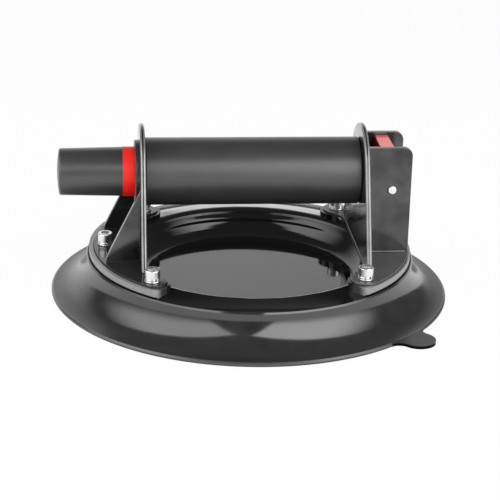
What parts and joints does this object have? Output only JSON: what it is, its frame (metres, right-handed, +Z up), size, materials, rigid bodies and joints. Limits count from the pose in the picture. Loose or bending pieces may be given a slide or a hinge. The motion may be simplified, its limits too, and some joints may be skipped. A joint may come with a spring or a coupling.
{
  "type": "suction cup lifter",
  "caption": "Hand vacuum lifter with a round rubber pad, a bracketed pump handle with a plunger and red indicator ring, and a red release lever.",
  "frame": {"origin": "centre of the rubber pad on its sealing plane", "axes": "+Z up along the pad's axis, +X along the handle from the pump plunger towards the release lever"},
  "size_m": [0.23, 0.23, 0.0996],
  "materials": {
    "pad_rubber": "satin black",
    "base_plastic": "gloss black",
    "bracket_coat": "satin black powder coat",
    "bright_steel": "bright zinc",
    "insert_brass": "knurled",
    "barrel_aluminium": "drawn tube",
    "grip_plastic": "matte black",
    "plunger_plastic": "matte black",
    "bush_plastic": "natural acetal",
    "ring_red": "bright red",
    "lever_red": "red",
    "seal_rubber": "black",
    "spring_steel": "spring steel",
    "valve_plastic": "dark grey",
    "filter_felt": "felt"
  },
  "bodies": {
    "frame": {"vacuum_pad": "pad_rubber", "pull_tab": "pad_rubber", "base_plate": "base_plastic", "threaded_inserts": "insert_brass", "foot_screws": "bright_steel", "plain_washers": "bright_steel", "spring_washers": "bright_steel", "valve_end_foot": "bracket_coat", "pump_end_foot": "bracket_coat", "pump_end_plate": "bracket_coat", "valve_end_plate": "bracket_coat", "pump_end_gussets": "bracket_coat", "lever_cheeks": "bracket_coat", "pump_barrel": "barrel_aluminium", "grip_sleeve": "grip_plastic", "gland_nut": "plunger_plastic", "guide_bush": "bush_plastic", "return_spring": "spring_steel", "valve_block": "valve_plastic", "block_seal": "seal_rubber", "inlet_valve": "seal_rubber", "stem_guide": "insert_brass", "valve_spring": "spring_steel", "port_block": "valve_plastic", "vacuum_pipe": "barrel_aluminium", "pipe_grommet": "seal_rubber", "port_filter": "filter_felt", "lever_pin": "bright_steel"},
    "plunger": {"plunger": "plunger_plastic", "indicator_ring": "ring_red", "piston": "bush_plastic", "piston_seal": "seal_rubber"},
    "lever": {"release_lever": "lever_red"},
    "valve_stem": {"valve_stem": "insert_brass", "stem_seal": "seal_rubber"}
  },
  "joints": [
    {"name": "plunger_slide", "type": "slide", "parent": "frame", "child": "plunger", "axis": [1, 0, 0], "range_m": [0, 0.038], "stiffness_N_per_m": 300, "springref_m": -0.02, "deforming": ["return_spring"]},
    {"name": "lever_pivot", "type": "hinge", "parent": "frame", "child": "lever", "pos_m": [0.079, 0, 0.0654], "axis": [0, -1, 0], "range_deg": [0, 10], "stiffness_Nm_per_rad": 0.1, "springref_deg": -8.59},
    {"name": "valve_stem_slide", "type": "slide", "parent": "frame", "child": "valve_stem", "axis": [-1, 0, 0], "range_m": [0, 0.00125], "deforming": ["valve_spring"]}
  ],
  "couplings": [
    {"joint": "valve_stem_slide", "follows": "lever_pivot", "m_per_rad": 0.0066}
  ]
}
